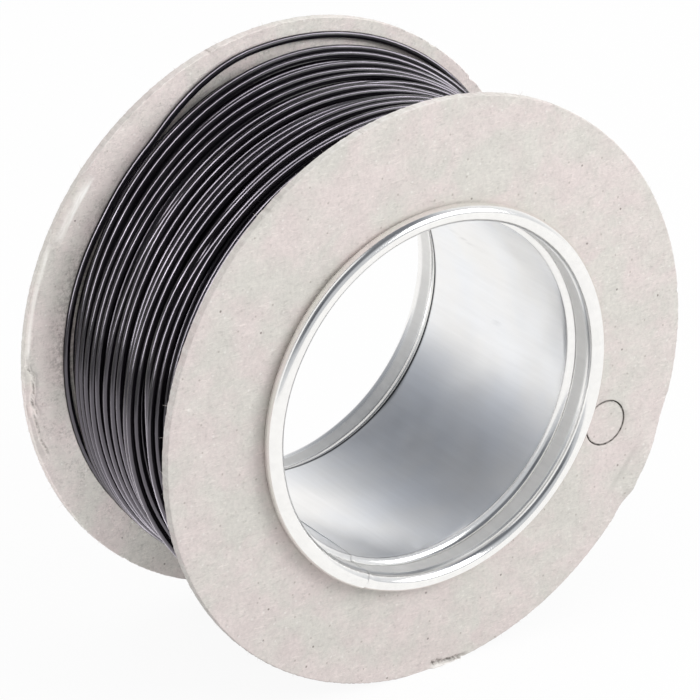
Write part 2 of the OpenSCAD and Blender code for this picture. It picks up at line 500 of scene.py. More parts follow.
def board_loop():
    """The board's section as a closed loop of radius and depth below its good face."""
    t, hole, rim = BOARD_THICK, HOLE_R, RIM_R
    face = [30.5, 30.7, 31.2, 33.0, 35.0, 38.0, 41.0, 43.0, 44.2, 45.0, 45.6, 46.1, 46.6,
            47.1, 47.55, 47.9, 48.2, 48.4, 48.6, 48.8, 49.0, 49.15, 49.3, 49.45, 49.6,
            49.72, 49.82]
    loop = [(r, 0.0) for r in face]
    loop += [(rim - 0.09, 0.02), (rim - 0.03, 0.07), (rim, 0.16)]
    loop += [(rim, t * k) for k in (0.2, 0.32, 0.44, 0.56, 0.68, 0.8, 0.9)]
    loop += [(rim, t - 0.1), (rim - 0.03, t - 0.03), (rim - 0.10, t)]
    loop += [(r, t) for r in reversed(face)]
    loop += [(hole, t - 0.1), (hole, t * 0.5), (hole, 0.1)]
    return np.array(loop)


def worn_front(radius, angle, depth):
    """Dents, bends, wear and dark marks of the front board: new radius, depth, raw and darkening.
    """
    raw = step(radius, 49.93, 49.99) * 0.6
    soil = np.zeros_like(radius)
    near_rim = step(radius, 44.5, 50.0)
    # The lower right rim was knocked: it bends forwards beyond a crease.
    at = turned(angle, -30)
    lift = bump(at, 0, 12) * step(radius, 46.4, 49.8) * 0.55
    lift += bump(turned(angle, -34.5), 0, 2.2) * step(radius, 47.0, 50) * 0.22
    radius = radius - bump(turned(angle, -38.5), 0, 3.0) * near_rim * 0.36
    radius = radius - bump(turned(angle, -19), 0, 7.0) * near_rim * 0.30
    depth = depth - lift
    crease = bump(turned(angle, -32), 0, 8) * bump(radius, 46.4 + 0.10 * at, 0.8)
    depth = depth + crease * 0.16
    soil = soil + crease * 0.30
    # A torn, crushed lip low on the rim.
    tear = between(angle, -90.5, -81.5, 1.2, 1.5)
    line = 49.25 + 0.30 * ripple(angle, 5, 20, 90) + 0.14 * ripple(angle, 6, 150, 420, 0.2)
    line = line + 0.05 * turned(angle, -86)
    wide = 0.34 + 0.22 * np.abs(ripple(angle, 7, 60, 200, 0.3))
    crack = tear * bump(radius, line, wide)
    depth = depth + crack * 0.45 - tear * step(radius, line + 0.1, 50) * 0.40
    frayed = np.abs(ripple(angle, 9, 120, 400, 0.2))
    radius = radius - tear * step(radius, 49.3, 50) * 0.16 * frayed
    soil = soil + crack * (0.8 + 0.25 * ripple(angle, 10, 60, 240, 0.3))
    raw = np.maximum(raw, tear * step(radius, line, line + 0.2) * 0.9)
    nick = bump(turned(angle, 6.7), 0, 0.7) * step(radius, 49.2, 49.8)
    radius = radius - nick * 0.25
    soil = soil + nick * 0.25
    nick = bump(turned(angle, -46.5), 0, 1.0) * bump(radius, 45.6, 0.7)
    soil = soil + nick * 0.35
    return radius, depth, raw, soil


def back_wear_and_shade(radius, angle, depth):
    """Wear of the back board, and painted shade beside its winding. Its inner face is at the
    greatest depth.
    """
    inner = step(depth, BOARD_THICK * 0.6, BOARD_THICK * 0.98)
    raw = step(radius, 49.93, 49.99) * 0.3
    soil = np.zeros_like(radius)
    # The inner corner is crushed to a bevel on the upper left.
    bevel = between(angle, 138, 154, 3, 4)
    slope = step(radius, 47.3 + 0.35 * ripple(angle, 3, 18, 60), 50.2)
    depth = depth - inner * bevel * slope * 1.05
    raw = np.maximum(raw, inner * bevel * step(radius, 47.6, 47.85))
    worn = between(angle, 152, 177, 6, 3)
    corner = step(radius, 49.1 + 0.15 * ripple(angle, 8, 20, 70), 50.1)
    depth = depth - inner * worn * corner * 0.75
    raw = np.maximum(raw, inner * worn * step(radius, 49.1, 49.4) * 0.8)
    # Torn ply at the left.
    torn = between(angle, 177, 189, 1.0, 1.6)
    edge = 48.75 + 0.45 * ripple(angle, 11, 25, 110)
    depth = depth - inner * torn * step(radius, edge, edge + 0.25) * 0.55
    raw = np.maximum(raw, inner * torn * step(radius, edge, edge + 0.2))
    depth = depth + inner * torn * bump(radius, edge - 0.25, 0.35) * 0.18
    soil = soil + inner * torn * bump(radius, edge + 0.02, 0.22) * 1.0
    # Below it a strip of the rim is split off by a dark line.
    split = between(angle, 185, 199, 2, 3)
    line = 48.9 + 0.12 * ripple(angle, 12, 20, 70) - 0.03 * turned(angle, 190)
    soil = soil + inner * split * bump(radius, line, 0.26) * 0.8
    soil = soil + inner * split * step(radius, line, line + 0.2) * 0.36
    depth = depth - inner * split * step(radius, line, line + 0.3) * 0.35
    ragged = between(angle, 30, 66, 4, 4)
    ragged = ragged * step(ripple(angle, 16, 60, 240, 0.1), 0.1, 1.1)
    soil = soil + ragged * step(radius, 49.6, 49.9) * 0.55
    for place, width in ((58.7, 0.9), (53.1, 0.7), (40.0, 1.1), (230.0, 0.8)):
        nick = bump(turned(angle, place), 0, width) * step(radius, 49.0, 49.9)
        radius = radius - nick * 0.35
        soil = soil + nick * 0.2
    # The wire has rubbed the inner face grey beside the upper winding, and painted shade darkens it
    # further close to the winding.
    rub_and_shade = inner * step(-radius, -48.2, -43.5) * step(ripple(angle, 14, 2, 30), -2.0, 0.9)
    # Painted shade: a darker band right against the winding.
    rub_and_shade = rub_and_shade + inner * step(-radius, -44.6, -42.8) * 0.25
    rub_and_shade = rub_and_shade * step(turned(angle, 112), 0, 24) * step(-turned(angle, 200), 0, 24)
    soil = soil + rub_and_shade * 0.54
    return radius, depth, raw, soil


def fibre_tree(material):
    """Geometry Nodes: a tapered paper fibre on each chosen point of a board."""
    g = Geometry(
        "board_fibres", "Board",
        {"Fibre Width": "NodeSocketFloat", "Fibre Length": "NodeSocketFloat"},
        "Frayed Board",
    )
    chosen = g.node(
        "FunctionNodeCompare", {"operation": "GREATER_THAN"},
        A=g.stored("fibre_size", "FLOAT"), B=0.001,
    )
    points = g.node(
        "GeometryNodeMeshToPoints", Mesh=g.given["Board"], Selection=chosen.outputs["Result"]
    )
    cone = g.node(
        "GeometryNodeMeshCone", {"fill_type": "NGON"}, Vertices=4, Side_Segments=2,
        Radius_Top=0.0, Radius_Bottom=g.given["Fibre Width"], Depth=g.given["Fibre Length"],
    )
    aim = g.node(
        "FunctionNodeAlignRotationToVector", {"axis": "Z"},
        Vector=g.stored("fibre_aim", "FLOAT_VECTOR"),
    )
    scatter = g.node(
        "GeometryNodeInstanceOnPoints", Points=points.outputs["Points"],
        Instance=cone.outputs["Mesh"], Rotation=aim.outputs["Rotation"],
        Scale=g.stored("fibre_size", "FLOAT"),
    )
    both = g.node("GeometryNodeJoinGeometry", Geometry=g.real(scatter.outputs["Instances"]))
    g.put(both.inputs["Geometry"], g.given["Board"])
    g.finish(both.outputs["Geometry"], material)
    return g


def apply_nodes(piece, geometry, sizes):
    """Runs the tree on the piece and keeps the result as its plain mesh."""
    modifier = piece.modifiers.new(geometry.tree.name, "NODES")
    modifier.node_group = geometry.tree
    for name, value in sizes.items():
        modifier[geometry.keys[name]] = value
    graph = bpy.context.evaluated_depsgraph_get()
    made = bpy.data.meshes.new_from_object(
        piece.evaluated_get(graph), preserve_all_data_layers=True, depsgraph=graph
    )
    piece.modifiers.remove(modifier)
    old = piece.data
    piece.data = made
    made.name = old.name
    bpy.data.meshes.remove(old)


def build_board(name, side, wear, seed, tufts):
    """One board. side is -1 for the front board and 1 for the back one."""
    board = settings("board")
    columns = board.columns
    loop = board_loop()
    angle = np.linspace(0, 360, columns, endpoint=False)[None, :]
    radius = loop[:, :1] + 0 * angle
    depth = loop[:, 1:] + 0 * angle
    angle = angle + 0 * radius
    # The die leaves the rim a little uneven and the sheet a little wavy.
    rim = step(radius, 49.0, 49.95)
    wall = step(radius, 49.9, 50.0)
    radius = radius - rim * (0.05 + 0.03 * ripple(angle, seed, 2, 14))
    radius = radius + rim * 0.022 * ripple(angle, seed + 1, 60, 330, 0.2)
    radius = radius + wall * 0.035 * ripple(angle + 40 * depth, seed + 2, 90, 400, 0.1)
    radius, depth = wear(radius, angle, depth)[:2]
    depth = depth + 0.05 * ripple(angle, seed + 3, 2, 5) * step(radius, 34, 50)
    depth = depth + rim * 0.012 * ripple(angle, seed + 4, 40, 300, 0.3)
    y = side * (HALF_WIDTH - depth)
    points = round_reel(radius, angle, y)
    # The reel's weight has crushed a short flat under each rim.
    ground = CAD_BOX[0].z
    sunk = np.clip((ground - points[..., 2]) / MM, 0, 1)
    points[..., 2] = np.maximum(points[..., 2], ground)
    middle = side * BOARD_MIDDLE * MM
    points[..., 1] = middle + (points[..., 1] - middle) * (1 + 0.35 * sunk)
    piece = mesh_object(
        name, points, grid_faces(len(loop), columns, True, True), greyboard()
    )
    tidy_normals(piece, 50)
    punch_knockout(piece, side)
    rng = np.random.default_rng(seed)
    co = np.zeros(len(piece.data.vertices) * 3, np.float32)
    piece.data.vertices.foreach_get("co", co)
    co = co.reshape(-1, 3) / MM
    radius = np.hypot(co[:, 0], co[:, 2])
    angle = np.degrees(np.arctan2(co[:, 2], co[:, 0]))
    depth = HALF_WIDTH - side * co[:, 1]
    # Beside real marks, this darkening holds painted shade in crevices and cuts.
    raw, soil = wear(radius, angle, depth)[2:]
    keep_value(piece, "raw", np.clip(raw, 0, 1))
    below_skin = (depth > 0.02) & (depth < 1.58)
    # Painted shade darkens the knock-out hole's wall below the face.
    inside = step(in_knockout(co), 0.1, 0.5) * below_skin
    soil = soil + rim_grime_and_curl_shade(radius, angle, depth, seed) + inside
    keep_value(piece, "soil", np.clip(soil, 0, 1))
    near_wire = 0.5 + 0.5 * step(-radius, -48.5, -43.5)
    keep_value(piece, "grit", step(depth, 1.0, 1.5) * near_wire)
    # Fibres stand out of the cut edge, a few of them long.
    corner = (radius > 49.6) & (co[:, 2] > ground / MM + 1)
    count = len(radius)
    frayed = corner & (rng.random(count) < 0.035)
    size = np.minimum(np.where(frayed, rng.gamma(1.6, 0.22, count), 0), 1.2)
    for place, reach in tufts:
        off = np.abs(turned(angle, place)) + 40 * (radius < 49.7)
        near = np.argsort(off)[:5]
        size[near] = reach * rng.uniform(0.5, 1.0, 5)
    aim = np.stack([co[:, 0] / radius, 0 * radius, co[:, 2] / radius], -1)
    aim = aim + rng.normal(0, 0.75, aim.shape)
    keep_value(piece, "fibre_size", size)
    keep_value(piece, "fibre_aim", aim, "FLOAT_VECTOR", "vector")
    apply_nodes(
        piece, fibre_tree(greyboard()),
        {"Fibre Width": board.fibre_width, "Fibre Length": board.fibre_length},
    )
    return piece


def rim_grime_and_curl_shade(radius, angle, depth, seed):
    """Handling marks along the corners of the rim, and a painted contact shadow on the board under
    the curl.
    """
    marks = step(ripple(angle, seed + 20, 8, 160, 0.2), 0.9, 2.0)
    # Painted contact shadow: a dark ring on the board where the curl presses on it.
    curl_contact_shade = step(-radius, -33.1, -32.3) * step(-depth, -0.15, -0.02)
    return marks * step(radius, 49.3, 49.9) * 0.25 + curl_contact_shade * 0.9


def in_knockout(co, width=0.2):
    """1 on the wall of the die-cut hole, 0 elsewhere; co is in millimetres."""
    cx, cz = knockout_centre()
    return bump(np.hypot(co[:, 0] - cx, co[:, 2] - cz), KNOCKOUT_D / 2, width)


def knockout_centre():
    """X and Z of the knock-out's middle."""
    turn = math.radians(KNOCKOUT_ANGLE)
    return KNOCKOUT_R * math.cos(turn), KNOCKOUT_R * math.sin(turn)


def knockout_shell(outer, lip, half_height, columns=96):
    """A round plug with its two rims flared (lip > 0) or rounded (lip < 0)."""
    rows = [(0.0, -half_height), (outer - 0.28, -half_height)]
    rows += [(outer + lip, -half_height), (outer + lip * 0.35, -half_height + 0.07)]
    rows += [(outer, -half_height + 0.2), (outer, half_height - 0.2)]
    rows += [(outer + lip * 0.35, half_height - 0.07), (outer + lip, half_height)]
    rows += [(outer - 0.28, half_height), (0.0, half_height)]
    turn = np.linspace(0, TAU, columns, endpoint=False)
    cx, cz = knockout_centre()
    points = [(cx, rows[0][1], cz)]
    for r, h in rows[1:-1]:
        points += [(cx + r * math.cos(a), h, cz + r * math.sin(a)) for a in turn]
    points.append((cx, rows[-1][1], cz))
    # The first and the last point are the middles of the two ends.
    wall = grid_faces(len(rows) - 2, columns, False, True)
    faces = [tuple(corner + 1 for corner in face) for face in wall]
    top, last = len(points) - 1, len(points) - 1 - columns
    for k in range(columns):
        n = (k + 1) % columns
        faces += [(0, 1 + n, 1 + k), (top, last + k, last + n)]
    return np.array(points), faces


def punch_knockout(piece, side):
    """Cuts the knock-out's hole through a board."""
    points, faces = knockout_shell(KNOCKOUT_D / 2, 0.10, 0.83)
    points[:, 1] += side * BOARD_MIDDLE
    punch = mesh_object("punch", points * MM, faces, greyboard())
    tidy_normals(punch, 60)
    cut = piece.modifiers.new("hole", "BOOLEAN")
    cut.operation, cut.solver, cut.object = "DIFFERENCE", "EXACT", punch
    graph = bpy.context.evaluated_depsgraph_get()
    made = bpy.data.meshes.new_from_object(piece.evaluated_get(graph), depsgraph=graph)
    piece.modifiers.remove(cut)
    piece.data = made
    bpy.data.objects.remove(punch)
    # A cut that fails leaves the board empty or in part.
    if not 0.9 * 60 * settings("board").columns < len(made.vertices):
        raise RuntimeError("the knock-out's hole could not be cut in " + piece.name)
    shade(made, 50)


def build_knockout(name, side, push):
    """A knock-out disc, still in its hole, pushed in by a few hundredths."""
    points, faces = knockout_shell(KNOCKOUT_D / 2 - KERF, -0.09, 0.79)
    points[:, 1] += side * (HALF_WIDTH - 0.8 - push)
    piece = mesh_object(name, points * MM, faces, greyboard())
    tidy_normals(piece, 50)
    keep_value(piece, "raw", 0 * points[:, 0])
    # Painted shade darkens the disc's wall, in the cut round it.
    keep_value(piece, "soil", step(in_knockout(points, 0.3), 0.0, 0.3))
    return piece


# ---------- tinplate core ----------


def smooth_line(line, passes):
    """Rounds off a line of points, with its two ends kept."""
    for _ in range(passes):
        inner = (line[:-2] + 2 * line[1:-1] + line[2:]) / 4
        line = np.vstack([line[:1], inner, line[-1:]])
    return line


def arc(centre, size, start, end, count):
    """Points on an arc in the sheet's section, from start to end in degrees."""
    return [
        (centre[0] + size * math.cos(math.radians(a)), centre[1] + size * math.sin(math.radians(a)))
        for a in np.linspace(start, end, count)
    ]


def half_midline(end):
    """Middle of the sheet from the reel's centre to the end of one curl."""
    bore = settings("tin").bore_radius / MM + SHEET / 2
    foot = FLANK_FOOT[end]
    ends = [foot - 1.0, foot - 0.7, foot - 0.45, foot - 0.3, foot - 0.15, foot - 0.05]
    flat = [(bore, y) for y in np.r_[np.linspace(0, foot - 1.4, 12), ends]]
    touch = BEAD_R * math.cos(math.radians(45))
    # The flank up to the bead is a shallow curve, not a straight cone.
    u = np.linspace(0, 1, 12)
    belly = 0.30 * u * (1 - u)
    flank = list(zip(
        bore + (BEAD_MID_R + touch - bore) * u + belly, foot + (BEAD_Y - touch - foot) * u - belly
    ))
    bead = arc((BEAD_MID_R, BEAD_Y), BEAD_R, -45, 78, 14)
    throat = [(THROAT_R, y) for y in np.linspace(20.45, CURL_Y - 0.1, 11)]
    formed = smooth_line(np.array(flank + bead + throat), 5)
    curl = arc((CURL_R, CURL_Y), CURL_MID, 180, -88, 26)
    return np.vstack([flat, formed, curl])


def offset_line(line, distance):
    """The line moved sideways by that distance."""
    ahead = np.gradient(line, axis=0)
    ahead /= np.linalg.norm(ahead, axis=1, keepdims=True)
    return line + distance * np.stack([ahead[:, 1], -ahead[:, 0]], -1)


def build_core():
    """The rolled core as one closed sheet, open along its seam."""
    tin = settings("tin")
    back = half_midline("back")[:0:-1]
    front = half_midline("front") * [1, -1]
    # From the back curl's end to the front curl's end, +Y to -Y.
    line = np.vstack([back, front])
    skin = offset_line(line, -SHEET / 2)
    out = offset_line(line, SHEET / 2)
    if skin[len(line) // 2, 0] > out[len(line) // 2, 0]:
        skin, out = out, skin
    hidden = np.r_[np.arange(0, len(line) - 1, 3), len(line) - 1]
    out = out[hidden][::-1]
    loop = np.vstack([skin, out])
    inside = np.r_[np.ones(len(skin)), np.zeros(len(out))][:, None]
    columns = tin.columns
    share = np.linspace(0, 1, columns)[None, :]
    depth = loop[:, 1:] + 0 * share
    radius = loop[:, :1] + 0 * share
    # Each end of the sheet is cut back at the curls, which leaves the notch.
    on_curl = step(np.abs(depth), 22.3, 22.6)
    back_off = 0.03 + tin.seam_gap / MM / 2 * on_curl
    end_deg = np.degrees(back_off / 30.0)
    angle = tin.seam_angle + end_deg + share * (360 - 2 * end_deg)
    near_seam = np.minimum(share * 360, (1 - share) * 360)
    foot = np.where(depth < 0, FLANK_FOOT["front"], FLANK_FOOT["back"])
    bore = inside * step(foot - np.abs(depth), 0, 0.8)
    formed = step(np.abs(depth) - foot, -0.4, 0.3)
    # Sheet rolled by hand-fed tools is never quite round or straight.
    slow, quick = np.sin(depth * 0.21 + 0.6), np.cos(depth * 0.33)
    radius = radius + bore * 0.05 * ripple(angle, 31, 2, 9)
    radius = radius + bore * 0.05 * ripple(angle + 2 * depth, 32, 3, 16) * slow
    radius = radius + bore * 0.02 * ripple(angle - 3 * depth, 36, 8, 30) * quick
    radius = radius + formed * 0.02 * ripple(angle, 33, 3, 18)
    depth = depth + formed * 0.02 * ripple(angle, 34, 3, 24) * np.sign(depth)
    # The flank is puckered where the bead was rolled past the seam.
    pucker = bump(np.abs(depth), 18.9, 0.9) * bump(turned(angle, 268), 0, 24)
    radius = radius + pucker * 0.012 * ripple(angle, 35, 30, 90, 0.1)
    curl = inside * step(np.abs(depth), 22.4, 23.2)
    fold = bump(turned(angle, 276), 0, 44) * curl
    for place, deep in ((30.55, 0.06), (31.5, 0.04)):
        depth = depth - fold * bump(radius, place, 0.4) * deep * np.sign(depth)
    # The curl is fuller towards one end of the sheet, and that end is burred.
    last = (1 - share) * 360
    burr = bump(last, 0, 2.6) * (0.5 + 0.5 * ripple(angle * 3 + 40 * radius, 38, 120, 400, 0.1))
    full = on_curl * (0.07 * bump(last, 0, 26) + 0.05 * burr)
    away = np.stack([radius - CURL_R, np.abs(depth) - CURL_Y])
    radius = radius + full * away[0]
    depth = depth + full * away[1] * np.sign(depth)
    # One end laps a little proud of the other along the seam.
    proud_end = near_seam * (share < 0.5) + 99 * (share >= 0.5)
    radius = radius - inside * bump(proud_end, 0, 2.2) * 0.10
    # Small dents.
    for place, y0, size, deep in (
        (354, -0.5, 0.9, 0.07), (270, -17.0, 1.1, 0.06), (12, 9.0, 0.7, 0.03)
    ):
        reach = np.hypot(turned(angle, place) * 0.51, depth - y0)
        radius = radius + inside * bump(reach, 0, size) * deep
    points = round_reel(radius, angle, depth)
    rows = len(loop)
    faces = grid_faces(rows, columns, True, False)
    for column, flip in ((0, False), (columns - 1, True)):
        # Close the sheet's two ends with quads between its skins.
        inner = [k * columns + column for k in range(len(skin))]
        outer = [(rows - 1 - k) * columns + column for k in range(len(out))]
        faces += end_strip(inner, outer, flip)
    piece = mesh_object("tinplate_core", points, faces, tinplate())
    tidy_normals(piece, 42)
    keep_value(piece, "formed", formed)
    # The tools that widened the throat left it matt.
    throat = step(np.abs(depth), 20.1, 20.6) * step(-np.abs(depth), -23.2, -22.6)
    keep_value(piece, "matt", inside * throat)
    streak = bump(turned(angle, 20) - 0.35 * (depth - 8), 0, 0.5) * bump(depth, 8, 6)
    spot = bump(np.hypot(turned(angle, 354) * 0.51, depth + 0.5), 0, 0.8)
    # A painted shade line darkens the fold at each end of the bore, strongest at the back.
    fold = bump(np.abs(depth) - foot, -0.12, 0.42) * np.where(depth > 0, 2.2, 0.15)
    scuff = inside * (streak * 0.18 + 0.3 * spot + fold * 0.85)
    keep_value(piece, "scuff", np.clip(scuff, 0, 1))
    return piece


def end_strip(inner, outer, flip):
    """Faces that join two open rows of points with different counts."""
    faces, i, j = [], 0, 0
    while i < len(inner) - 1 or j < len(outer) - 1:
        inner_is_behind = (i + 1) / (len(inner) - 1) <= (j + 1) / (len(outer) - 1)
        if j == len(outer) - 1 or (i < len(inner) - 1 and inner_is_behind):
            face = (inner[i], inner[i + 1], outer[j])
            i += 1
        else:
            face = (inner[i], outer[j + 1], outer[j])
            j += 1
        faces.append(face[::-1] if flip else face)
    return faces


# ---------- winding ----------


def drum_radius(angle, y):
    """Surface under the top three layers, a little lumpy like any winding."""
    lump = 0.22 * ripple(angle, 51, 1, 4) + 0.16 * ripple(angle + 25 * y, 52, 1, 5)
    tight = 0.65 * bump(turned(angle, 304), 0, 26) * step(y, 15.5, 18.5)
    left = 1.1 * bump(turned(angle, 182), 0, 40) * step(y, 12.0, 18.5)
    around = (angle + 48) % 360 - 48
    # The turns under the slack ones stand higher too.
    over = step(around, LOOSE_FROM, LOOSE_UP) * step(-around, -SLACK_TO, -SLACK_DOWN)
    return 40.15 + lump - tight - left + 2.9 * over * step(y, 3.0, 18.0)


def loose_lift(angle):
    """How far the last turn stands off the winding, by its unwrapped angle."""
    up = step(angle, LOOSE_FROM, LOOSE_UP)
    down = step(-angle, -LOOSE_TO, -LOOSE_DOWN)
    return LOOSE_RISE * up * down


def wire_route():
    """The wire's centre line in millimetres: three layers, the loose last turn
    and the straight end, each turn lying on the turns below it."""
    wire = settings("wire")
    thick = wire.diameter / MM + 0.012
    per = 120  # points in one turn
    plan = [  # turns, start and end of the traverse
        (29.0, -19.65, 19.68),
        (24.0, 19.05, -19.5),
        (wire.top_turns, -18.2, LAST_Y),
    ]
    total = sum(layer[0] for layer in plan)
    count = int(round(total * per))
    turn = np.arange(count + 1) / per
    angle = END_ANGLE + 360 * (turn - total)
    y = np.zeros_like(turn)
    done = 0.0
    for layer, (turns, start, end) in enumerate(plan):
        u = (turn - done) / turns
        inside = (u >= 0) & (u <= 1)
        y[inside] = start + (end - start) * u[inside]
        wander = (0.10, 0.42, 0.90)[layer]
        fade = np.clip(np.minimum(u, 1 - u) * turns / 1.5, 0, 1)
        drift = ripple(angle / turns, 61 + layer, int(turns * 0.3), int(turns * 2.3), 0.2)
        wander = wander * (1 - 0.45 * step(np.abs(y), 11.0, 17.0))
        y[inside] += (wander * fade * drift)[inside]
        done += turns
    # Neighbouring turns of the lower layers never climb on each other.
    done = 0
    for turns, start, end in plan[:-1]:
        first, last = int(round(done * per)), int(round((done + turns) * per))
        way = 1 if end > start else -1
        for i in range(first + per, last + 1):
            y[i] = way * max(way * y[i], way * y[i - per] + thick)
        done += turns
    y = np.clip(y, -EDGE_Y, EDGE_Y)
    # The last turn keeps beside the board, as its own solid does.
    last_turn = step(turn, total - 1.05, total - 0.85)
    y = y * (1 - last_turn) + LAST_Y * last_turn
    # Each point lies on the drum or on the turns already laid at its angle.
    radius = np.zeros_like(turn)
    slots = [[] for _ in range(per)]
    for i in range(count + 1):
        slot = slots[i % per]
        need = drum_radius(angle[i], y[i]) + thick / 2
        if slot:
            laid = np.array(slot)
            gap = y[i] - laid[:, 0]
            near = np.abs(gap) < thick
            if near.any():
                need = max(need, np.max(laid[near, 1] + np.sqrt(thick**2 - gap[near] ** 2)))
        radius[i] = need
        # What is laid later must clear the smoothed line, so smooth as it goes.
        if i >= 6:
            radius[i - 3] = max(radius[i - 3], np.mean(radius[i - 6:i + 1]))
            slots[(i - 6) % per].append((y[i - 6], radius[i - 6]))
    kernel = np.array([1, 3, 6, 7, 6, 3, 1], float)
    padded = np.r_[[radius[0]] * 3, radius, [radius[-1]] * 3]
    radius = np.convolve(padded, kernel / kernel.sum(), "valid")
    # The loose turn, then the straight end that holds the strands.
    loose = np.where(turn > total - 1, TURN_R + loose_lift(angle), 0.0)
    over = step(loose - radius, -0.6, 0.6)
    radius = radius * (1 - over) + np.maximum(loose, radius) * over
    tail = step(turn, total - 0.25, total - 0.12)
    radius = radius * (1 - tail) + TURN_R * tail
    chord = turn >= total - TAIL_TURN
    points = round_reel(radius, angle, y) / MM
    start = round_reel(np.array(TURN_R), END_ANGLE - 360 * TAIL_TURN, LAST_Y) / MM
    finish = round_reel(np.array(TURN_R), END_ANGLE, LAST_Y) / MM
    u = ((turn - (total - TAIL_TURN)) / TAIL_TURN)[chord][:, None]
    points[chord] = start * (1 - u) + finish * u
    return points


def tube_tree(material):
    """Geometry Nodes: sweeps a round wire along a line of edges."""
    g = Geometry(
        "wire_tube", "Route",
        {"Wire Radius": "NodeSocketFloat", "Sides": "NodeSocketInt"},
        "Wire",
    )
    curve = g.node("GeometryNodeMeshToCurve", Mesh=g.given["Route"])
    normal = g.node("GeometryNodeSetCurveNormal", Curve=curve.outputs["Curve"])
    length = g.node("GeometryNodeSplineParameter").outputs["Length"]
    along = g.store("along", normal.outputs["Curve"], length)
    ring = g.node(
        "GeometryNodeCurvePrimitiveCircle", Resolution=g.given["Sides"],
        Radius=g.given["Wire Radius"],
    )
    factor = g.node("GeometryNodeSplineParameter").outputs["Factor"]
    around = g.store("around", ring.outputs["Curve"], g.maths("PINGPONG", factor, 0.5))
    sweep = g.node(
        "GeometryNodeCurveToMesh", Curve=along, Profile_Curve=around, Fill_Caps=True
    )
    soft = g.node("GeometryNodeSetShadeSmooth", Geometry=sweep.outputs["Mesh"])
    g.finish(g.real(soft.outputs["Geometry"]), material)
    return g


def hollow_end(piece, tip, ahead):
    """Opens the wire's cut end, so that the strands show inside it."""
    work = bmesh.new()
    work.from_mesh(piece.data)
    caps = [f for f in work.faces if len(f.verts) > 4]
    cap = min(caps, key=lambda f: (f.calc_center_median() - tip).length)
    if (cap.calc_center_median() - tip).length > 0.0005:
        raise RuntimeError("the wire's cut end isn't where its strands are")
    bmesh.ops.inset_individual(work, faces=[cap], thickness=0.00026)
    made = bmesh.ops.extrude_discrete_faces(work, faces=[cap])["faces"]
    for v in made[0].verts:
        v.co -= ahead * STRAND_L
    bmesh.ops.recalc_face_normals(work, faces=work.faces)
    work.to_mesh(piece.data)
    work.free()


def build_wire():
    """The one length of wire, from the lowest modelled layer to its cut end."""
    wire = settings("wire")
    points = wire_route()
    mesh = bpy.data.meshes.new("wire")
    edges = [(i, i + 1) for i in range(len(points) - 1)]
    mesh.from_pydata((points * MM).tolist(), edges, [])
    piece = placed("wire", mesh)
    apply_nodes(
        piece, tube_tree(insulation()),
        {"Wire Radius": wire.diameter / 2, "Sides": wire.sides},
    )
    tip = Vector(points[-1] * MM)
    ahead = (tip - Vector(points[-2] * MM)).normalized()
    hollow_end(piece, tip, ahead)
    shade(piece.data, 60)
    return piece


def build_inner_layers():
    """The layers under the wire's top three, as close ribs round a plain core."""
    pitch, half = 1.22, 20.25
    ribs = int(2 * half / pitch)
    start = -ribs * pitch / 2
    outer = []
    for k in range(ribs):
        for a in (150, 120, 90, 60, 30):
            turn = math.radians(a)
            outer.append((
                -0.68 + 0.6 * math.sin(turn), start + (k + 0.5) * pitch - 0.6 * math.cos(turn)
            ))
    outer = np.array(outer)
    columns = 180
    angle = np.linspace(0, 360, columns, endpoint=False)[None, :]
    y_out = outer[:, 1:] + 0 * angle
    r_out = drum_radius(angle + 0 * y_out, y_out) + outer[:, :1]
    # On the left the layers below bear the last turn where it comes down.
    bearing = TURN_R + loose_lift(angle) - WIRE_D - (drum_radius(angle, 19.5) - 0.08)
    bearing = np.maximum(bearing, 0) * step(turned(angle, 116), 0, 7) * step(
        -turned(angle, 240), 0, 14)
    r_out = r_out + bearing * step(y_out, 18.2, 18.9)
    # Round the ends and along the core, with room for its beads.
    inner_y = np.array([half, half, 18.6, 17.6, 0.0, -17.6, -18.6, -half, -half])
    inner_r = np.array([38.8, 31.4, 31.2, 29.75, 29.75, 29.75, 31.2, 31.4, 38.8])
    rows_y = np.vstack([y_out, inner_y[:, None] + 0 * angle])
    rows_r = np.vstack([r_out, inner_r[:, None] + 0 * angle])
    points = round_reel(rows_r, angle + 0 * rows_r, rows_y)
    piece = mesh_object(
        "inner_layers", points, grid_faces(len(rows_r), columns, True, True), insulation()
    )
    tidy_normals(piece, 60)
    keep_value(piece, "along", np.radians(angle + 0 * rows_r) * 0.04)
    keep_value(piece, "around", rows_y * 0.2)
    return piece


# ---------- studio ----------


def ground_material():
    """A white floor that keeps a soft shadow."""
    s = Shader("studio_floor")
    white = settings("studio").floor_colour
    faint = s.noise(3.0, 2.0, 0.5)
    colour = s.mix(s.ramp(faint, 0.3, 0.7, 0.0, 0.05), rgba(white), (0.9, 0.9, 0.9, 1))
    ray = s.node("ShaderNodeLightPath").outputs
    # It sends less light back up than it shows.
    bounce = s.mix(1.0, colour, (0.62, 0.62, 0.62, 1), "MULTIPLY")
    s.set(
        Base_Color=s.mix(ray["Is Diffuse Ray"], colour, bounce),
        Roughness=0.9, Specular_IOR_Level=0.0,
    )
    light = s.node("ShaderNodeEmission", Color=(1, 1, 1, 1), Strength=1.0)
    seen = s.maths("MAXIMUM", ray["Is Camera Ray"], ray["Is Glossy Ray"])
    share = s.maths("MULTIPLY", seen, settings("studio").floor_glow)
    shown = s.pick(share, s.surface.outputs["BSDF"], light.outputs["Emission"])
    s.put(s.tree.nodes["Material Output"].inputs["Surface"], shown)
    return s.material


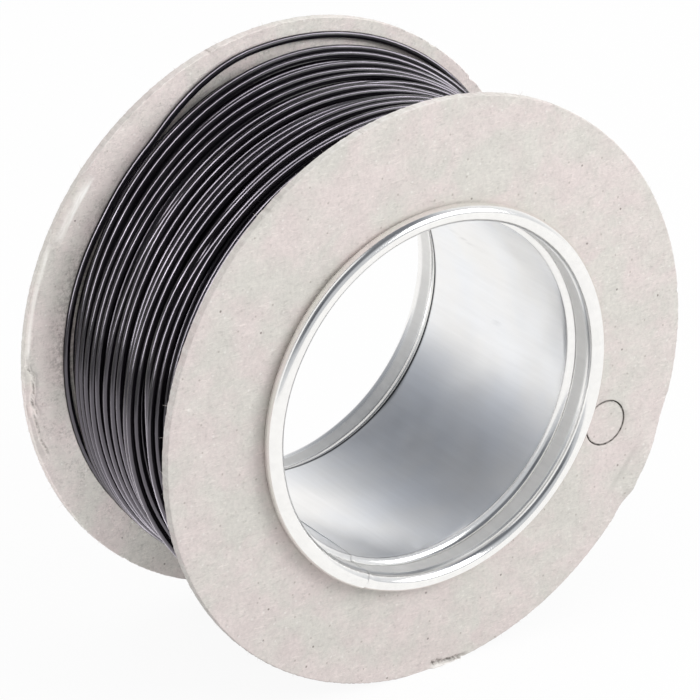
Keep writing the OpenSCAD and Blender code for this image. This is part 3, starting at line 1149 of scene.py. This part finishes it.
def studio_world():
    """Plain even light. Polished things show pale walls with a darker ceiling
    and camera, and the camera sees plain white."""
    world = bpy.data.worlds.new("studio")
    world.use_nodes = True
    w = Nodes(world.node_tree)
    place = w.node("ShaderNodeTexCoord").outputs["Generated"]

    def patch(towards, inner, outer, inside, beyond):
        """A round patch of the room: its level inside and beyond, in degrees."""
        dot = w.node("ShaderNodeVectorMath", {"operation": "DOT_PRODUCT"})
        w.put(dot.inputs[0], place)
        w.put(dot.inputs[1], Vector(towards).normalized())
        inner, outer = math.cos(math.radians(inner)), math.cos(math.radians(outer))
        return w.ramp(dot.outputs["Value"], outer, inner, beyond, inside)

    def shine(colour, strength):
        made = w.node("ShaderNodeBackground", Color=colour, Strength=strength)
        return made.outputs["Background"]

    # Ceiling, back, left, camera and front.
    level = patch((-0.38, -0.12, 0.92), 38, 60, 0.28, 1.0)
    for towards, inner, outer, inside in (
        ((-0.23, 0.75, 0.61), 10, 56, 0.36),
        ((-0.95, -0.05, 0.30), 18, 42, 0.80),
        ((-0.52, -0.74, 0.42), 5, 14, 0.40),
        ((0.0, -1.0, 0.35), 20, 95, 0.60),
    ):
        level = w.maths("MULTIPLY", level, patch(towards, inner, outer, inside, 1.0))
    # A pale band stands over the reel, on its left.
    band = w.maths(
        "MULTIPLY", patch((0, 1, 0), 106, 111, 1.0, 0.0), patch((0, 1, 0), 85, 91, 0.0, 1.0)
    )
    band = w.maths("MULTIPLY", band, patch((-0.8, -0.1, 0.6), 35, 50, 1.0, 0.0))
    level = w.maths("MAXIMUM", level, band)
    white = (1, 1, 1, 1)
    tint = w.mix(level, (0.80, 0.87, 1.0, 1), white)
    ray = w.node("ShaderNodeLightPath").outputs
    walls = shine(white, settings("studio").walls)
    light = w.pick(ray["Is Glossy Ray"], walls, shine(tint, level))
    light = w.pick(ray["Is Camera Ray"], light, shine(white, 1.0))
    w.put(w.tree.nodes["World Output"].inputs["Surface"], light)
    bpy.context.scene.world = world


def soft_lamp(name, towards, distance, size, power, along=Vector((1, 0, 0))):
    """A softbox that looks at the reel from that direction, long side along."""
    data = bpy.data.lights.new(name, "AREA")
    data.shape = "RECTANGLE"
    data.size, data.size_y = size
    data.energy = power
    lamp = placed(name, data)
    way = Vector(towards).normalized()
    lamp.location = way * distance
    side = (along - way * along.dot(way)).normalized()
    lamp.rotation_euler = Matrix((side, way.cross(side), way)).transposed().to_euler()
    lamp.visible_camera = False
    return lamp


def wire_lamp(lamp, reached):
    """Makes a lamp show only in the gloss of those pieces, with a faint violet tint."""
    lamp.data.color = (0.95, 0.87, 1.0)
    lamp.visible_diffuse = False
    lamp.light_linking.receiver_collection = reached


def collection_of(name, pieces):
    """A collection that lamps can be limited to."""
    made = bpy.data.collections.new(name)
    for piece in pieces:
        made.objects.link(bpy.data.objects[piece])
    return made


def aim_camera():
    """A long lens, from the front left and above."""
    data = bpy.data.cameras.new("camera")
    data.sensor_width = 36.0
    data.lens = settings("studio").lens
    data.clip_start, data.clip_end = 0.05, 50.0
    camera = placed("camera", data)
    az, el = math.radians(-34.76), math.radians(25.0)
    back = Vector((math.sin(az) * math.cos(el), -math.cos(az) * math.cos(el), math.sin(el)))
    camera.location = Vector((-329.8, -474.0, 268.9)) * MM
    camera.rotation_euler = back.to_track_quat("Z", "Y").to_euler()
    bpy.context.scene.camera = camera


# ---------- settings ----------


def colour_property(name, text, value):
    return bpy.props.FloatVectorProperty(
        name=name, description=text, subtype="COLOR", size=3, min=0, max=1, default=value
    )


def length_property(name, text, value, low, high, precision=5):
    return bpy.props.FloatProperty(
        name=name, description=text, default=value, min=low, max=high,
        precision=precision, unit="LENGTH",
    )


def number_property(name, text, value, low, high):
    return bpy.props.FloatProperty(
        name=name, description=text, default=value, min=low, max=high
    )


def count_property(name, text, value, low, high):
    return bpy.props.IntProperty(
        name=name, description=text, default=value, min=low, max=high
    )


class BoardSettings(bpy.types.PropertyGroup):
    face_colour: colour_property(
        "Face", "Cool tone of the board's faces", (0.690, 0.668, 0.625))
    warm_colour: colour_property(
        "Warm patches", "Warmer tone of the board's faces", (0.735, 0.660, 0.640))
    edge_colour: colour_property(
        "Cut edge", "Tone of the raw plies", (0.93, 0.915, 0.89))
    columns: count_property("Columns", "Steps round a board's rim", 900, 240, 1400)
    fibre_width: length_property(
        "Fibre width", "Radius of one loose paper fibre", 0.00003, 0.00001, 0.0002, 6)
    fibre_length: length_property(
        "Fibre length", "Length of an average loose fibre", 0.0010, 0.0002, 0.003)


class TinSettings(bpy.types.PropertyGroup):
    colour: colour_property("Metal", "Reflected tone of the bore", (0.935, 0.945, 0.965))
    warm_colour: colour_property(
        "Warm metal", "Warmer tone that clouds the bore", (0.965, 0.955, 0.94))
    formed_colour: colour_property(
        "Formed metal", "Reflected tone of curl, throat and bead", (0.945, 0.935, 0.915))
    bore_radius: length_property(
        "Bore radius", "Radius of the straight bore", 0.0292, 0.02, 0.03)
    bore_roughness: number_property(
        "Bore roughness", "Roughness of the flat-rolled bore", 0.30, 0.05, 0.8)
    formed_roughness: number_property(
        "Formed roughness", "Roughness of curl, throat and bead", 0.15, 0.05, 0.8)
    seam_angle: number_property(
        "Seam", "Where the sheet's ends meet, in degrees", 242.0, 0, 360)
    seam_gap: length_property(
        "Seam gap", "Gap between the sheet's ends in each curl", 0.00008, 0.00002, 0.0015)
    columns: count_property(
        "Columns", "Steps round the core, at most what keeps it under 200,000 triangles",
        450, 120, 460)


class WireSettings(bpy.types.PropertyGroup):
    colour: colour_property("Insulation", "Colour of the PVC", (0.0034, 0.0026, 0.0044))
    roughness: number_property("Roughness", "Roughness of the PVC", 0.18, 0.05, 0.8)
    diameter: length_property(
        "Diameter", "Diameter over the insulation", 0.0012, 0.0008, 0.0016)
    top_turns: number_property("Top turns", "Turns in the layer that shows", 18.6, 10, 24)
    sides: count_property("Sides", "Sides of the wire's round section", 8, 6, 16)


class StudioSettings(bpy.types.PropertyGroup):
    floor_colour: colour_property("Floor", "Colour of the floor", (0.88, 0.88, 0.88))
    floor_glow: number_property(
        "Floor glow", "Share of plain white in the floor that is seen", 0.93, 0, 1)
    walls: number_property("Walls", "Even light that comes from all round", 0.90, 0, 3)
    arch_power: number_property(
        "Arch", "Power of each strip lamp over the reel, in watts", 21.0, 0, 200)
    front_power: number_property(
        "Front lamp", "Power of the softbox that faces the reel, in watts", 2.0, 0, 100)
    lens: number_property(
        "Lens", "Focal length of the camera in millimetres", 201.03, 20, 400)


# ---------- operators ----------


class ReelOperator:
    bl_options = {"REGISTER", "UNDO"}


class REEL_OT_boards(ReelOperator, bpy.types.Operator):
    """Build the two greyboard flanges"""

    bl_idname = "reel.boards"
    bl_label = "Boards"

    def execute(self, context):
        front = build_board(
            "front_board", -1, worn_front, 21, ((167.0, 1.1), (129.9, 1.3), (-144.4, 0.8)))
        settle(front, "front_flange")
        back = build_board("back_board", 1, back_wear_and_shade, 121, ((58.0, 0.7),))
        settle(back, "back_flange")
        return {"FINISHED"}


class REEL_OT_knockouts(ReelOperator, bpy.types.Operator):
    """Build the knock-out discs that are still in the boards"""

    bl_idname = "reel.knockouts"
    bl_label = "Knock-out discs"

    def execute(self, context):
        for name, side, node in (
            ("front_knockout", -1, "front_knockout_disc"),
            ("back_knockout", 1, "back_knockout_disc"),
        ):
            settle(build_knockout(name, side, 0.04), node)
        return {"FINISHED"}


class REEL_OT_core(ReelOperator, bpy.types.Operator):
    """Build the rolled tinplate core"""

    bl_idname = "reel.core"
    bl_label = "Tinplate core"

    def execute(self, context):
        settle(build_core(), "core_barrel")
        return {"FINISHED"}


class REEL_OT_winding(ReelOperator, bpy.types.Operator):
    """Wind the wire onto the core, layer on layer"""

    bl_idname = "reel.winding"
    bl_label = "Winding"

    def execute(self, context):
        settle(build_inner_layers(), "inner_windings")
        settle(build_wire(), "outer_turns")
        return {"FINISHED"}


class REEL_OT_strands(ReelOperator, bpy.types.Operator):
    """Give the copper strands in the wire's end their finish"""

    bl_idname = "reel.strands"
    bl_label = "Copper strands"

    def execute(self, context):
        metal = copper()
        for name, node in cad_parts.items():
            if name.startswith("conductor_strand"):
                for slot in node.material_slots:
                    slot.material = metal
                if not node.material_slots:
                    node.data.materials.append(metal)
        return {"FINISHED"}


class REEL_OT_stage(ReelOperator, bpy.types.Operator):
    """Set up the floor, lamps, room and camera"""

    bl_idname = "reel.stage"
    bl_label = "Studio"

    def execute(self, context):
        studio = settings("studio")
        half, ground = 4.0, CAD_BOX[0].z
        signs = ((-1, -1), (1, -1), (1, 1), (-1, 1))
        corners = np.array([(x * half, y * half, ground) for x, y in signs])
        floor = mesh_object("floor", corners, [(0, 1, 2, 3)], ground_material())
        studio_world()
        # An arch of strips draws the highlights on the wire; a softbox faces the reel.
        wound = collection_of("lit_by_arch", ("wire", "inner_layers"))
        arch = [Vector((math.cos(a), -0.17, math.sin(a)))
                for a in np.radians((25, 61, 97, 133, 167))]
        for index, towards in enumerate(arch):
            along = Vector((-towards.z, 0, towards.x))
            strip = soft_lamp(
                f"arch_{index + 1}", towards, 0.9, (0.62, 0.40),
                studio.arch_power * (0.55, 0.6, 0.75, 1.0, 0.9)[index], along,
            )
            wire_lamp(strip, wound)
        # The pale table shines up on the wire.
        table = soft_lamp("table", (0, 0, -1), -0.0003 - ground, (0.14, 0.25), 0.31)
        table.location += Vector((-0.10, -0.02, 0))
        wire_lamp(table, wound)
        # Two small lamps fill the inner face of the back board.
        beside = collection_of("lit_from_side", ("back_board",))
        for name, towards, distance, power in (
            ("low_left", (-0.09, -0.040, -0.035), 0.105, 0.042),
            ("overhead", (0.02, -0.045, 0.085), 0.098, 0.012),
        ):
            fill = soft_lamp(name, towards, distance, (0.05, 0.02), power)
            fill.visible_glossy = False
            fill.light_linking.receiver_collection = beside
        soft_lamp("front", (0.52, -0.70, 0.47), 0.7, (0.38, 0.32), studio.front_power)
        aim_camera()
        context.scene.view_settings.view_transform = "Standard"
        return {"FINISHED"}


class REEL_PT_panel(bpy.types.Panel):
    """The reel's settings and builders"""

    bl_label = "Wire Reel"
    bl_idname = "REEL_PT_panel"
    bl_space_type = "VIEW_3D"
    bl_region_type = "UI"
    bl_category = "Wire Reel"

    def draw(self, context):
        column = self.layout.column(align=True)
        for operator in BUILDERS:
            column.operator(operator.bl_idname)
        for kind, group in GROUPS.items():
            box = self.layout.box()
            box.label(text=kind.capitalize())
            for name in group.__annotations__:
                box.prop(settings(kind), name)


BUILDERS = (
    REEL_OT_boards, REEL_OT_knockouts, REEL_OT_core, REEL_OT_winding, REEL_OT_strands,
    REEL_OT_stage,
)
GROUPS = {
    "board": BoardSettings, "tin": TinSettings, "wire": WireSettings, "studio": StudioSettings,
}


def register():
    for kind, group in GROUPS.items():
        bpy.utils.register_class(group)
        setattr(bpy.types.Scene, "reel_" + kind, bpy.props.PointerProperty(type=group))
    for item in BUILDERS + (REEL_PT_panel,):
        bpy.utils.register_class(item)


def unregister():
    for item in reversed(BUILDERS + (REEL_PT_panel,)):
        bpy.utils.unregister_class(item)
    for kind, group in GROUPS.items():
        delattr(bpy.types.Scene, "reel_" + kind)
        bpy.utils.unregister_class(group)


def main():
    register()
    for operator in BUILDERS:
        name = operator.bl_idname.split(".")[1]
        if getattr(bpy.ops.reel, name)() != {"FINISHED"}:
            raise RuntimeError(operator.bl_label + " could not be built")


if __name__ == "__main__":
    main()
